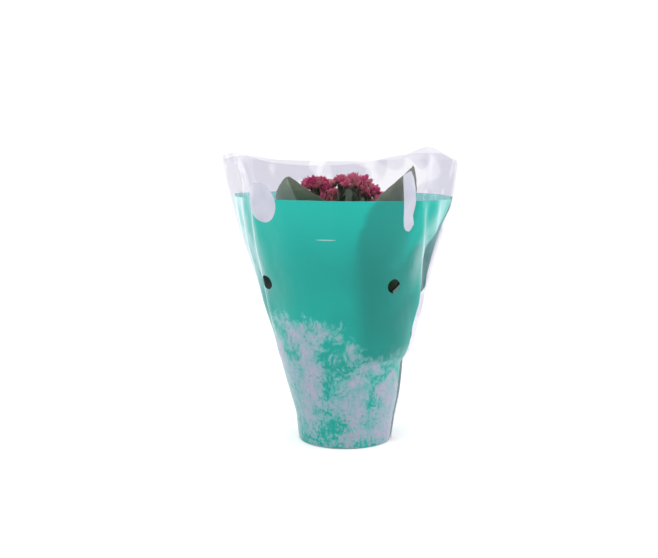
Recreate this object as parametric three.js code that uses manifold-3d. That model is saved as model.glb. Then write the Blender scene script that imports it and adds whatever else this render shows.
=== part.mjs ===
// A flowering kalanchoe in its nursery pot, inside an open sleeve of printed film.
// Millimetres, +Z up. The origin is the centre of the pot's underside, and the sleeve's front faces -Y.
import * as THREE from 'three';
import { mergeVertices } from 'three/addons/utils/BufferGeometryUtils.js';
import Module from 'manifold-3d';

const wasm = await Module();
wasm.setup();

// Driving dimensions
const GAP = 0.3;
const POT = {
  height: 92, wall: 1.2, floor: 1.4, baseRadius: 40.6, edge: 1.4,
  bodyRadius: 51, ledgeHeight: 79.6, ledgeRadius: 55.4, rimRadius: 58.9, segments: 36,
};
const DRAIN = { count: 8, radius: 4, ring: 28, bore: 10 };
const SOIL = { top: 80.5, lump: 1.3, rings: [48, 40, 30, 20, 10, 0], stemBore: 60 };
const FILM = 0.6;
const SLEEVE_TURN = 15;
// The sleeve's cross-section: height, half width between the side welds, depth of each panel's bulge, and
// its shift along X
const SLEEVE_SECTIONS = [
  [0.6, 42, 42, 0],
  [24, 45.1, 45.1, 0.4],
  [41, 49.3, 49.3, -0.2],
  [58, 52.8, 52.6, -1.8],
  [74, 55.6, 55.4, -3.2],
  [80, 59.2, 58.3, -2],
  [92, 64, 60.2, -0.8],
  [114, 70.3, 61.2, -2.4],
  [136, 77.3, 62.6, -3.6],
  [158, 82.4, 66.2, -5.3],
  [180, 89.6, 70.4, -6.5],
  [201, 96.3, 74.5, -6.2],
  [217, 100.4, 77.2, -5.8],
  [250, 106.3, 82, -8],
];
// Top edge heights from the left weld to the right weld, evenly spaced along each panel
const FRONT_EDGE = [252, 257, 259.5, 252.5, 250, 252, 259, 259, 250];
const BACK_EDGE = [252, 256, 251.5, 250, 250, 253, 264, 254, 250];
const SLEEVE_ROWS = [0.6, 24, 50, 74, 80, 92, 114, 142, 172, 200];
const SLEEVE_TOP_SHARES = [0.5, 1];
const PANEL_STEPS = 20;
const AIR_HOLE = { radius: 6.2, height: 147, shares: [-0.535, 0.575], punch: 12 };

const PLANTS = 3;
const PLANT_RING = 18;
const FIRST_PLANT = -90;
const STEM = { bottom: 56, top: 172, baseRadius: 4.2, topRadius: 3.2, sides: 8, swelling: 0.5, lean: 2.5 };
const STALK = {
  startRadius: 1.9, endRadius: 1.4, sides: 5, steps: 4, root: 5, rise: 12, approach: 16,
  pedicels: 4, pedicelRadius: 0.85, parting: 8,
};
// Five pairs of leaves up each stem: height of the joint, leaf tip's height, tip's reach as a share of the
// sleeve's radius, width, scallops along each side
const LEAF_PAIRS = [
  [94, 136, 0.84, 39, 4],
  [111, 163, 0.84, 42, 5],
  [129, 186, 0.82, 42, 5],
  [148, 206, 0.78, 39, 5],
  [163, 209, 0.6, 31, 4],
];
// Leaves that go their own way: two large ones stand up at the front, over the print's edge, one stands
// behind the flowers, one reaches out to the film, and four keep clear
const PLACED_LEAVES = {
  leaf_13: { height: 249, reach: 0.86, width: 64, heading: -43, taper: [0.6, 0.95] },
  leaf_26: { height: 240, reach: 0.84, width: 70, heading: -133, taper: [0.8, 1] },
  leaf_22: { height: 226, reach: 0.8, width: 40, heading: 88 },
  leaf_05: { height: 150, reach: 0.95, width: 46 },
  leaf_19: { height: 206, reach: 0.82, width: 30, heading: -81 },
  leaf_20: { height: 200, reach: 0.6, heading: -20 },
  leaf_25: { height: 215, reach: 0.5, heading: -78 },
  leaf_28: { height: 203, reach: 0.54, heading: -8 },
};
// The taper's two numbers are the powers by which a blade widens from its foot and from its tip
const LEAF = {
  thickness: 2.2, edge: 0.9, petiole: 2.4, petioleShare: 0.3, cup: 0.16, scallop: 0.07,
  taper: [0.85, 0.5], startRise: 0.4, startReach: 0.2, endRise: 2.4, endReach: 0.4,
};
const TIP_VARIATION = { size: 3, step: 2.4 };
const OUTER_HEADING = 12;
const INNER_HEADING = 42;

// Flower heads: the plant that carries each, then X, Y, height of its top, and scale
const HEAD_PLACES = [
  [0, -26, -9, 241, 1.02], [0, 10, -8, 242, 1.1], [1, 33, -2, 224, 0.95], [1, 22, 22, 232, 1],
  [2, -4, 12, 240, 0.9], [2, -36, 15, 226, 1], [2, -12, 35, 228, 1],
];
const HEAD = {
  coreRadius: 7.4, coreHeight: 5.2, rise: 12.8, florets: 10, open: 1, halfOpen: 3, spread: 84, seat: 0.72,
  size: 1.35, smallest: 0.86,
};

const GOLDEN_TURN = Math.PI * (3 - Math.sqrt(5));
const { sin, cos, PI, sqrt, pow, round } = Math;
const { degToRad, lerp, smoothstep } = THREE.MathUtils;
const UP = new THREE.Vector3(0, 0, 1);
const heading = (angle, rise = 0) => new THREE.Vector3(cos(angle), sin(angle), rise).normalize();

// Materials
const finish = (color, roughness) => new THREE.MeshStandardMaterial({ color, roughness, metalness: 0 });
const potPlastic = finish(0x1f1b18, 0.5);
const pottingSoil = finish(0x35241a, 0.95);
const printedFilm = finish(0x33a99d, 0.25);
const greenStem = finish(0x5c7a3a, 0.6);
const greenLeaf = finish(0x3f6130, 0.45);
const pinkPetal = finish(0xb81f58, 0.55);

// Joining and cutting
function solid(geometry) {
  const bare = geometry.clone();
  bare.deleteAttribute('normal');
  bare.deleteAttribute('uv');
  const merged = mergeVertices(bare, 1e-4);
  return new wasm.Manifold(new wasm.Mesh({
    numProp: 3,
    vertProperties: new Float32Array(merged.attributes.position.array),
    triVerts: new Uint32Array(merged.index.array),
  }));
}

function geometryOf(body) {
  const mesh = body.getMesh();
  const geometry = new THREE.BufferGeometry();
  geometry.setAttribute('position', new THREE.BufferAttribute(mesh.vertProperties, 3));
  geometry.setIndex(new THREE.BufferAttribute(mesh.triVerts, 1));
  geometry.computeVertexNormals();
  return geometry;
}

const fuse = (bodies) => bodies.reduce((whole, body) => whole.add(body));

// A closed skin over rings of points that run anticlockwise round the way from the first ring to the last.
// A fan closes each end, from the ring's middle or from a point of its own.
function loft(rings, { turned = () => false, startPoint, endPoint } = {}) {
  const sides = rings[0].length;
  const last = (rings.length - 1) * sides;
  const points = rings.flat();
  const middle = (ring) => (
    ring.reduce((sum, point) => sum.add(point), new THREE.Vector3()).divideScalar(sides)
  );
  const start = points.push(startPoint ?? middle(rings[0])) - 1;
  const end = points.push(endPoint ?? middle(rings[rings.length - 1])) - 1;
  const faces = [];
  for (let side = 0; side < sides; side++) {
    const next = (side + 1) % sides;
    faces.push(start, next, side, end, last + side, last + next);
    for (let row = 0; row < last; row += sides) {
      const [a, b, c, d] = [row + side, row + next, row + sides + next, row + sides + side];
      if (turned(side)) faces.push(a, b, d, b, c, d);
      else faces.push(a, b, c, a, c, d);
    }
  }
  const geometry = new THREE.BufferGeometry().setFromPoints(points);
  geometry.setIndex(faces);
  geometry.computeVertexNormals();
  return geometry;
}

// A round limb along a curve, with a radius for each share of its length
function limb(curve, radiusAt, sides, steps) {
  const frames = curve.computeFrenetFrames(steps);
  const rings = frames.normals.map((normal, step) => {
    const centre = curve.getPointAt(step / steps);
    const radius = radiusAt(step / steps);
    return Array.from({ length: sides }, (_, side) => {
      const angle = (side / sides) * 2 * PI;
      return centre.clone()
        .addScaledVector(normal, radius * cos(angle))
        .addScaledVector(frames.binormals[step], radius * sin(angle));
    });
  });
  return loft(rings);
}

// Nursery pot
const bodyRadiusAt = (z) => lerp(POT.baseRadius, POT.bodyRadius, z / POT.ledgeHeight);

function makePot() {
  const { wall, floor, edge } = POT;
  const profile = [
    [0, 0], [POT.baseRadius - edge, 0], [POT.baseRadius, edge], [POT.bodyRadius, POT.ledgeHeight],
    [POT.ledgeRadius, POT.ledgeHeight + 0.6], [POT.rimRadius, POT.height],
    [POT.rimRadius - wall, POT.height], [POT.ledgeRadius - wall, POT.ledgeHeight + wall + 0.6],
    [POT.bodyRadius - wall, POT.ledgeHeight + wall], [bodyRadiusAt(floor) - wall, floor], [0, floor],
  ];
  const shell = new THREE.LatheGeometry(profile.map(([r, z]) => new THREE.Vector2(r, z)), POT.segments);
  let pot = solid(shell.rotateX(PI / 2));
  for (let hole = 0; hole < DRAIN.count; hole++) {
    const bore = new THREE.CylinderGeometry(DRAIN.radius, DRAIN.radius, DRAIN.bore, 10).rotateX(PI / 2);
    const place = heading((hole / DRAIN.count) * 2 * PI).multiplyScalar(DRAIN.ring);
    pot = pot.subtract(solid(bore.translate(place.x, place.y, 0)));
  }
  return geometryOf(pot);
}

// Stems stand round the pot's middle
const plantAngle = (plant) => degToRad(FIRST_PLANT + (plant * 360) / PLANTS);
const stemFoot = (plant) => heading(plantAngle(plant)).multiplyScalar(PLANT_RING);
const stemShare = (z) => (z - STEM.bottom) / (STEM.top - STEM.bottom);

function stemCentre(plant, z) {
  const lean = STEM.lean * pow(Math.max(0, (z - SOIL.top) / (STEM.top - SOIL.top)), 1.5);
  return stemFoot(plant).addScaledVector(heading(plantAngle(plant)), lean).setZ(z);
}

// Potting soil, with a lumpy top and a plain hole for each stem
function makeSoil() {
  const side = POT.wall + GAP;
  const lumps = (x, y) => (
    SOIL.lump * (sin(x * 0.31 + 1) * cos(y * 0.27) + 0.6 * sin(x * 0.13 - y * 0.17 + 2))
  );
  const profile = [[0, POT.floor + GAP], [bodyRadiusAt(POT.floor) - side, POT.floor + GAP]];
  for (const radius of SOIL.rings) profile.push([radius, SOIL.top]);
  const turned = profile.map(([r, z]) => new THREE.Vector2(r, z));
  const block = new THREE.LatheGeometry(turned, POT.segments).rotateX(PI / 2);
  const points = block.attributes.position;
  for (let i = 0; i < points.count; i++) {
    const [x, y, z] = [points.getX(i), points.getY(i), points.getZ(i)];
    if (z > SOIL.top - 1) points.setZ(i, z + lumps(x, y) * (Math.hypot(x, y) < 47 ? 1 : 0.2));
  }
  let soil = solid(block);
  for (let plant = 0; plant < PLANTS; plant++) {
    const radius = STEM.baseRadius + GAP + 0.2;
    const bore = new THREE.CylinderGeometry(radius, radius, SOIL.stemBore, 12).rotateX(PI / 2);
    const foot = stemFoot(plant);
    soil = soil.subtract(solid(bore.translate(foot.x, foot.y, STEM.bottom - GAP + SOIL.stemBore / 2)));
  }
  return geometryOf(soil);
}

// Film sleeve: two panels, each an arc between the side welds
function sleeveSection(z) {
  const above = SLEEVE_SECTIONS.findIndex(([height]) => height >= z);
  const high = SLEEVE_SECTIONS[above < 0 ? SLEEVE_SECTIONS.length - 1 : Math.max(above, 1)];
  const low = SLEEVE_SECTIONS[SLEEVE_SECTIONS.indexOf(high) - 1];
  const t = (z - low[0]) / (high[0] - low[0]);
  return [1, 2, 3].map((column) => lerp(low[column], high[column], t));
}

// A point on a panel: share runs from -1 at the left weld to 1 at the right weld, panel is 1 in front and
// -1 behind
function sleevePoint(share, panel, z, inset = 0) {
  const [span, bulge, shift] = sleeveSection(z);
  const [halfWidth, depth] = [span - inset, bulge - inset];
  const radius = (halfWidth * halfWidth + depth * depth) / (2 * depth);
  const angle = share * Math.asin(Math.min(1, halfWidth / radius));
  const point = new THREE.Vector3(radius * sin(angle), -panel * (radius * cos(angle) - radius + depth), z);
  point.applyAxisAngle(UP, -degToRad(SLEEVE_TURN));
  return point.setX(point.x + shift);
}

const edgeCurves = [FRONT_EDGE, BACK_EDGE].map((heights) => new THREE.SplineCurve(
  heights.map((height, step) => new THREE.Vector2(step, height)),
));

function topEdge(share, panel) {
  return edgeCurves[panel > 0 ? 0 : 1].getPoint((share + 1) / 2).y;
}

function makeSleeve() {
  const around = [];
  for (let step = 0; step < PANEL_STEPS; step++) around.push([-1 + (2 * step) / PANEL_STEPS, 1]);
  for (let step = 0; step < PANEL_STEPS; step++) around.push([1 - (2 * step) / PANEL_STEPS, -1]);
  const flatRows = SLEEVE_ROWS.length;
  const heightAt = (row, share, panel) => (row < flatRows ? SLEEVE_ROWS[row]
    : lerp(SLEEVE_ROWS[flatRows - 1], topEdge(share, panel), SLEEVE_TOP_SHARES[row - flatRows]));
  const rows = flatRows + SLEEVE_TOP_SHARES.length;
  const points = [];
  for (const inset of [0, FILM]) {
    for (let row = 0; row < rows; row++) {
      for (const [share, panel] of around) {
        points.push(sleevePoint(share, panel, heightAt(row, share, panel), inset));
      }
    }
  }
  const sides = around.length;
  const inner = rows * sides;
  const faces = [];
  const quad = (a, b, c, d) => faces.push(a, b, c, a, c, d);
  for (let side = 0; side < sides; side++) {
    const next = (side + 1) % sides;
    for (let row = 0; row + 1 < rows; row++) {
      const [low, high] = [row * sides, (row + 1) * sides];
      quad(low + side, low + next, high + next, high + side);
      faces.push(inner + low + side, inner + high + next, inner + low + next);
      faces.push(inner + low + side, inner + high + side, inner + high + next);
    }
    const top = (rows - 1) * sides;
    quad(top + side, top + next, inner + top + next, inner + top + side);
    quad(inner + side, inner + next, next, side);
  }
  const shell = new THREE.BufferGeometry().setFromPoints(points);
  shell.setIndex(faces);
  let sleeve = solid(shell);
  for (const panel of [1, -1]) {
    for (const share of AIR_HOLE.shares) {
      const centre = sleevePoint(share, panel, AIR_HOLE.height);
      const along = sleevePoint(share + 0.01, panel, AIR_HOLE.height).sub(centre);
      const outward = along.cross(UP).normalize();
      const punch = new THREE.CylinderGeometry(AIR_HOLE.radius, AIR_HOLE.radius, AIR_HOLE.punch, 12);
      punch.rotateX(PI / 2);
      punch.applyQuaternion(new THREE.Quaternion().setFromUnitVectors(UP, outward));
      sleeve = sleeve.subtract(solid(punch.translate(centre.x, centre.y, centre.z)));
    }
  }
  return geometryOf(sleeve);
}

// Distance from the pot's axis to the film's inside, along a heading
function filmRadius(angle, z) {
  const way = heading(angle);
  let nearest = new THREE.Vector3();
  let best = -1;
  for (const panel of [1, -1]) {
    for (let share = -1; share <= 1; share += 0.02) {
      const point = sleevePoint(share, panel, z, FILM);
      const along = point.clone().setZ(0).normalize().dot(way);
      if (along > best) [best, nearest] = [along, point];
    }
  }
  return Math.hypot(nearest.x, nearest.y);
}

// Leaves: a petiole, then a cupped blade with a scalloped edge
function makeLeaf({ foot, from, tip, heading: to, width, scallops, taper }) {
  const reach = foot.distanceTo(tip);
  const curve = new THREE.CubicBezierCurve3(
    foot,
    foot.clone().addScaledVector(heading(from, LEAF.startRise), reach * LEAF.startReach),
    tip.clone().addScaledVector(heading(to, LEAF.endRise), -reach * LEAF.endReach),
    tip,
  );
  const [grow, narrow] = taper;
  const widest = pow(grow / (grow + narrow), grow) * pow(narrow / (grow + narrow), narrow);
  const bladeSteps = 2 * scallops;
  const stations = [0, 0.5, 1].map((t) => t * LEAF.petioleShare);
  for (let step = 1; step <= bladeSteps + 1; step++) {
    stations.push(lerp(LEAF.petioleShare, 1, pow(step / (bladeSteps + 1), 0.92)));
  }
  const rings = stations.map((t, row) => {
    const onBlade = Math.max(0, (t - LEAF.petioleShare) / (1 - LEAF.petioleShare));
    const outline = (pow(onBlade, grow) * pow(1 - onBlade * 0.985, narrow)) / widest;
    const lobe = row > 3 && onBlade < 1 ? 1 + LEAF.scallop * (row % 2 ? -1 : 1) : 1;
    const petiole = LEAF.petiole * lerp(1.15, 0.8, t / LEAF.petioleShare);
    const half = Math.max(onBlade > 0 ? 1.2 : petiole, (width / 2) * outline * lobe);
    const thick = lerp(LEAF.thickness * 1.3, LEAF.thickness * 0.8, t) / 2;
    const rim = onBlade > 0 ? LEAF.edge / 2 : thick * 0.8;
    const turn = from + (to - from) * smoothstep(t, 0, 0.7);
    const forward = curve.getTangent(t);
    const side = UP.clone().cross(heading(turn));
    side.addScaledVector(forward, -side.dot(forward)).normalize();
    const face = forward.clone().cross(side);
    const centre = curve.getPoint(t);
    const lift = half * LEAF.cup * (onBlade > 0 ? 1 : 0);
    const at = (hand, rise) => (
      centre.clone().addScaledVector(side, hand * half).addScaledVector(face, rise)
    );
    return [
      at(1, lift + rim), at(0, thick), at(-1, lift + rim),
      at(-1, lift - rim), at(0, -thick), at(1, lift - rim),
    ];
  });
  return loft(rings, { turned: (side) => side % 3 === 0 });
}

function leafPlans() {
  const plans = [];
  LEAF_PAIRS.forEach(([joint, height, reach, width, scallops], pair) => {
    for (let plant = 0; plant < PLANTS; plant++) {
      for (const outer of [true, false]) {
        const name = `leaf_${String(plans.length + 1).padStart(2, '0')}`;
        const placed = PLACED_LEAVES[name] ?? {};
        const hand = pair % 2 ? -1 : 1;
        const facing = plantAngle(plant);
        const from = facing + hand * degToRad(outer ? 45 : -135);
        let to = facing + hand * degToRad(outer ? OUTER_HEADING : -INNER_HEADING);
        if (placed.heading !== undefined) to = degToRad(placed.heading);
        to += 2 * PI * round((from - to) / (2 * PI));
        const variation = TIP_VARIATION.size * sin(plans.length * TIP_VARIATION.step);
        const top = (placed.height ?? height) + (placed.height ? 0 : variation);
        const tip = heading(to).multiplyScalar((placed.reach ?? reach) * filmRadius(to, top)).setZ(top);
        const radius = lerp(STEM.baseRadius, STEM.topRadius, stemShare(joint)) + STEM.swelling;
        const foot = stemCentre(plant, joint).addScaledVector(heading(from), radius + GAP + 0.35);
        const [leafWidth, taper] = [placed.width ?? width, placed.taper ?? LEAF.taper];
        plans.push({ name, foot, from, tip, heading: to, width: leafWidth, scallops, taper });
      }
    }
  });
  return plans;
}

// Flower heads: pointed buds and opening double blooms on a small core.
// A floret is a skin over rings of points, closed at its foot and at its tip. Every second point of a ring
// is a petal's tip, given as reach and height, and the points between the tips are given the same way. A
// shifted ring stands over the gaps of the one below.
function makeFloret({ petals, layers, tip }, size) {
  const rings = layers.map(([tipOut, tipUp, gapOut, gapUp, shift = 0]) => (
    Array.from({ length: petals * 2 }, (_, side) => {
      const onTip = (side + shift) % 2 === 0;
      const out = (onTip ? tipOut : gapOut) * size;
      return heading((side / petals) * PI).multiplyScalar(out).setZ((onTip ? tipUp : gapUp) * size);
    })
  ));
  const [startPoint, endPoint] = [new THREE.Vector3(0, 0, -1), new THREE.Vector3(0, 0, tip * size)];
  return solid(loft(rings, { startPoint, endPoint }));
}

const OPEN_FLORET = {
  petals: 6,
  layers: [[7.4, 3.9, 3, 2.7], [2.9, 3.4, 2.6, 3.3], [2.5, 4.2, 5.2, 5.8, 1], [1.3, 4.2, 1.3, 4.2]],
  tip: 5.8,
};
const HALF_OPEN_FLORET = { petals: 5, layers: [[4.1, 6, 2.4, 3.6], [1.8, 4.2, 1.6, 4.2]], tip: 6.8 };
const BUD = { length: 6.4, radius: 2.5 };

function makeBud(length, radius) {
  const ring = (size, z, turn) => Array.from({ length: 5 }, (_, side) => (
    heading((side / 5) * 2 * PI + turn).multiplyScalar(size).setZ(z)
  ));
  const rings = [ring(radius * 0.7, 0, 0), ring(radius, length * 0.42, 0.2)];
  return solid(loft(rings, { endPoint: new THREE.Vector3(0, 0, length) }));
}

const dome = new THREE.Vector3(HEAD.coreRadius, HEAD.coreRadius, HEAD.coreHeight);

function makeHead(index) {
  const core = new THREE.SphereGeometry(HEAD.coreRadius, 7, 4).rotateX(PI / 2);
  core.scale(1, 1, HEAD.coreHeight / HEAD.coreRadius);
  const parts = [solid(core)];
  for (let floret = 0; floret < HEAD.florets; floret++) {
    const level = floret / (HEAD.florets - 1);
    const polar = degToRad(HEAD.spread) * sqrt(level);
    const angle = floret * GOLDEN_TURN + index;
    const way = heading(angle).multiplyScalar(sin(polar)).setZ(cos(polar));
    const turn = new THREE.Quaternion().setFromUnitVectors(UP, way);
    const seat = way.clone().multiply(dome);
    const place = new THREE.Matrix4().makeRotationFromQuaternion(turn);
    place.setPosition(seat.multiplyScalar(HEAD.seat));
    const size = lerp(HEAD.size, HEAD.size * HEAD.smallest, level);
    let form = makeBud(BUD.length * size, BUD.radius * size);
    if (floret < HEAD.open) form = makeFloret(OPEN_FLORET, size);
    else if (floret < HEAD.open + HEAD.halfOpen) form = makeFloret(HALF_OPEN_FLORET, size);
    parts.push(form.transform(place.toArray()));
  }
  const scale = HEAD_PLACES[index][4];
  return fuse(fuse(parts).decompose().filter((part) => part.volume() > 1)).scale([scale, scale, scale]);
}

const headCentre = (index) => {
  const [, x, y, top, scale] = HEAD_PLACES[index];
  return new THREE.Vector3(x, y, top - HEAD.rise * scale);
};

// Stems, each with its flower stalks and the short stems under each head
function makeStem(plant) {
  const joints = LEAF_PAIRS.map(([joint]) => joint);
  const heights = [STEM.bottom, SOIL.top, ...joints, STEM.top].flatMap((z) => (
    joints.includes(z) ? [z - 3, z, z + 3] : [z]
  ));
  const rings = heights.map((z) => Array.from({ length: STEM.sides }, (_, side) => {
    const swelling = joints.includes(z) ? STEM.swelling : 0;
    const radius = lerp(STEM.baseRadius, STEM.topRadius, stemShare(z)) + swelling;
    return stemCentre(plant, z).addScaledVector(heading((side / STEM.sides) * 2 * PI), radius);
  }));
  const parts = [solid(loft(rings))];
  const root = stemCentre(plant, STEM.top - STALK.root);
  const up = (rise) => new THREE.Vector3(0, 0, rise);
  for (const stalk of HEAD_PLACES.keys()) {
    if (HEAD_PLACES[stalk][0] !== plant) continue;
    const centre = headCentre(stalk);
    const scale = HEAD_PLACES[stalk][4];
    const underside = centre.clone().setZ(centre.z - HEAD.coreHeight * scale - GAP - 0.15);
    const out = underside.clone().sub(root).setZ(0);
    const curve = new THREE.CubicBezierCurve3(
      root,
      root.clone().addScaledVector(out, 0.35).add(up(STALK.rise)),
      underside.clone().addScaledVector(out, -0.12).add(up(-STALK.approach)),
      underside,
    );
    const radiusAt = (t) => lerp(STALK.startRadius, STALK.endRadius, t);
    parts.push(solid(limb(curve, radiusAt, STALK.sides, STALK.steps)));
    for (let pedicel = 0; pedicel < STALK.pedicels; pedicel++) {
      const way = heading((pedicel / STALK.pedicels) * 2 * PI + stalk, -0.9);
      const seat = way.clone().multiply(dome).multiplyScalar(scale);
      const tip = centre.clone().add(seat).addScaledVector(way, 1.1);
      const line = new THREE.LineCurve3(underside.clone().add(up(-STALK.parting)), tip);
      parts.push(solid(limb(line, () => STALK.pedicelRadius, 4, 1)));
    }
  }
  return geometryOf(fuse(parts));
}

// The whole object
const kalanchoe = new THREE.Group();

function place(name, geometry, material) {
  const mesh = new THREE.Mesh(geometry, material);
  mesh.name = name;
  kalanchoe.add(mesh);
}

place('pot', makePot(), potPlastic);
place('soil', makeSoil(), pottingSoil);
for (let plant = 0; plant < PLANTS; plant++) place(`stem_${plant + 1}`, makeStem(plant), greenStem);
for (const plan of leafPlans()) place(plan.name, makeLeaf(plan), greenLeaf);
HEAD_PLACES.forEach((_, index) => {
  const centre = headCentre(index);
  const head = geometryOf(makeHead(index)).translate(centre.x, centre.y, centre.z);
  place(`flower_head_${index + 1}`, head, pinkPetal);
});
place('sleeve', makeSleeve(), printedFilm);

export default kalanchoe;
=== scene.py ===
# A flowering kalanchoe in its nursery pot, inside an open sleeve of printed film: the dressed model.
# Lengths are worked out in millimetres, as in the part's source, and made metres when a mesh is built.
import math

import bmesh
import bpy
import numpy as np
from mathutils import Matrix, Vector, noise
from mathutils.bvhtree import BVHTree
from mathutils.kdtree import KDTree


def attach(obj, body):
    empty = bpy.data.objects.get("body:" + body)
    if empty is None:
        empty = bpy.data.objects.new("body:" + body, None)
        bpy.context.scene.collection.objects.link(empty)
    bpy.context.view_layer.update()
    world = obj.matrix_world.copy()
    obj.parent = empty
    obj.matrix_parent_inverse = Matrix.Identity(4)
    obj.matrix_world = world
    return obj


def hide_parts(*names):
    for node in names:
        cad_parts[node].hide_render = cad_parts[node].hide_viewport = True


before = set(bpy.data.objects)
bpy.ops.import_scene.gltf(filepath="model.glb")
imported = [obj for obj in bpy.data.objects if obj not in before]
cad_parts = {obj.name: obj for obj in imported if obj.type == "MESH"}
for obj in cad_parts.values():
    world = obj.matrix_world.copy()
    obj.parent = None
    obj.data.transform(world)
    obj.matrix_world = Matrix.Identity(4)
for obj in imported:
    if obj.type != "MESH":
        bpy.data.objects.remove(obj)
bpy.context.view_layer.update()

MM = 0.001
FULL_TURN = 2 * math.pi
GOLDEN_TURN = math.pi * (3 - math.sqrt(5))
UP = Vector((0, 0, 1))

# The part's own sizes (mm)
POT = dict(height=92, wall=1.2, floor=1.4, base=40.6, edge=1.4, body=51, ledge_height=79.6, ledge=55.4, rim=58.9)
DRAINS = dict(count=8, radius=4, ring=28)
SOIL_TOP, SOIL_LUMP = 80.5, 1.3
SLEEVE_TURN = math.radians(-15)
SLEEVE_SECTIONS = np.array([
    [0.6, 42, 42, 0], [24, 45.1, 45.1, 0.4], [41, 49.3, 49.3, -0.2], [58, 52.8, 52.6, -1.8], [74, 55.6, 55.4, -3.2],
    [80, 59.2, 58.3, -2], [92, 64, 60.2, -0.8], [114, 70.3, 61.2, -2.4], [136, 77.3, 62.6, -3.6],
    [158, 82.4, 66.2, -5.3], [180, 89.6, 70.4, -6.5], [201, 96.3, 74.5, -6.2], [217, 100.4, 77.2, -5.8],
    [250, 106.3, 82, -8], [290, 113.45, 87.8, -10.7],
])
FRONT_EDGE = [252, 257, 259.5, 252.5, 250, 252, 259, 259, 250]
BACK_EDGE = [252, 256, 251.5, 250, 250, 253, 264, 254, 250]
AIR_HOLE = dict(radius=6.2, height=147, shares=(-0.535, 0.575))
PLANTS, PLANT_RING, FIRST_PLANT = 3, 18, -90
STEM = dict(bottom=56, top=172, base=4.2, tip=3.2, swelling=0.5, lean=2.5)
# Joint, height of the tip, reach, width and scallops of each pair
LEAF_PAIRS = [
    [94, 136, 0.84, 39, 4], [111, 163, 0.84, 42, 5], [129, 186, 0.82, 42, 5], [148, 206, 0.78, 39, 5],
    [163, 209, 0.6, 31, 4],
]
PLACED_LEAVES = {
    "leaf_13": dict(height=249, reach=0.86, width=64, heading=-43, taper=(0.6, 0.95)),
    "leaf_26": dict(height=240, reach=0.84, width=70, heading=-133, taper=(0.8, 1)),
    "leaf_22": dict(height=226, reach=0.8, width=40, heading=88),
    "leaf_05": dict(height=150, reach=0.95, width=46),
    "leaf_19": dict(height=206, reach=0.82, width=30, heading=-81),
    "leaf_20": dict(height=200, reach=0.6, heading=-20),
    "leaf_25": dict(height=215, reach=0.5, heading=-78),
    "leaf_28": dict(height=203, reach=0.54, heading=-8),
}
TAPER = (0.85, 0.5)
OUTER_HEADING, INNER_HEADING = 12, 42
# Plant, place, height of the top and scale of each head
HEAD_PLACES = [
    [0, -26, -9, 241, 1.02], [0, 10, -8, 242, 1.1], [1, 33, -2, 224, 0.95], [1, 22, 22, 232, 1],
    [2, -4, 12, 240, 0.9], [2, -36, 15, 226, 1], [2, -12, 35, 228, 1],
]
HEAD = dict(radius=7.4, height=5.2, rise=12.8)

# Sizes of the dressing, of its film first (mm)
FILM_THICKNESS = 0.25
PRINT_TOP = 221.6
MARBLE_TOP = 104
MARBLE_SLANT = 0.34
SLEEVE_COLUMNS = 160
MARGIN_COLUMN = 0.9
HEIGHTS = np.arange(0, 290.1, 0.5)
# Where the print stops short of each weld, as a share of the panel, by height
MARGIN_HEIGHTS = [0, 70, 85, 98, 111, 127, 141, 155, 169, 181, 190, 200, 210, 221.6]
FRONT_MARGINS = (
    [0.94, 0.94, 0.93, 0.92, 0.91, 0.9, 0.9, 0.9, 0.9, 0.9, 0.91, 0.92, 0.93, 0.95],
    [0.94, 0.93, 0.9, 0.87, 0.875, 0.88, 0.865, 0.86, 0.85, 0.855, 0.885, 0.935, 0.97, 0.985],
)
BACK_MARGINS = (
    [0.965] * 14,
    [0.9, 0.84, 0.74, 0.72, 0.72, 0.74, 0.87, 0.93, 0.93, 0.93, 0.93, 0.96, 0.98, 0.985],
)
# Upright creases near the welds: panel, side, share of the panel at each crease height, depth and wave. They rise and
# fade between two heights each, and the film hangs loose above the pot
CREASE_HEIGHTS = [120, 165, 205, 240]
CREASE_RISE, CREASE_FADE, LOOSE = (96, 128), (212, 232), (90, 125)
CREASES = [
    [1, 1, [0.93, 0.81, 0.71, 0.66], 2.0, 19], [1, -1, [0.62, 0.54, 0.485, 0.44], 1.9, 18],
    [-1, 1, [0.7, 0.66, 0.6, 0.56], 1.7, 19], [-1, -1, [0.76, 0.7, 0.64, 0.6], 1.7, 18],
]
# Dents and ripples: depth, width, shift between the panels, height and layer of their noise
DENTS = [[1.5, 42, 7, 75, 3.1], [0.55, 17, 5, 46, 8.4], [0.16, 6, 2, 9, 1.7]]
# How far a bare mark stands out of the film over its middle, at its rim and under it
MARK_LIFT, MARK_RIM, MARK_UNDER = 0.14, 0.03, -0.05
# A tall tab with a slanting top and a round foot: share and height of its corners
STRIP = np.array([
    [0.54, 242], [0.592, 245.5], [0.612, 240], [0.632, 231], [0.638, 218], [0.634, 211], [0.635, 206],
    [0.648, 202.5], [0.656, 199], [0.649, 195.5], [0.63, 194], [0.602, 195.2], [0.584, 198.5], [0.569, 206],
    [0.558, 217], [0.548, 230], [0.54, 242],
])
# The leaves that lie close behind the print on the right, whose painted shade darkens its ink, how deep they still
# shade it (m), and the drop in height over which that painted shade fades (mm)
NEAR_LEAVES = ("leaf_03", "leaf_04", "leaf_08", "leaf_13", "leaf_15", "leaf_16", "leaf_20", "leaf_21", "leaf_28")
NEAR_REACH = 0.07
SHADE_DROP = 130
SOFTENINGS = (30, 2)

# Pot, soil and plants (mm). The middle of the pot's underside is dished upwards
FLUTES, BASE_DISH = dict(count=24, depth=0.45), 0.9
SOIL_RADII = (48.3, 47.2, 45, 42, 38, 34, 30, 26, 22, 18, 14, 10, 6, 3)
STALK_STEPS = 22
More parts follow.
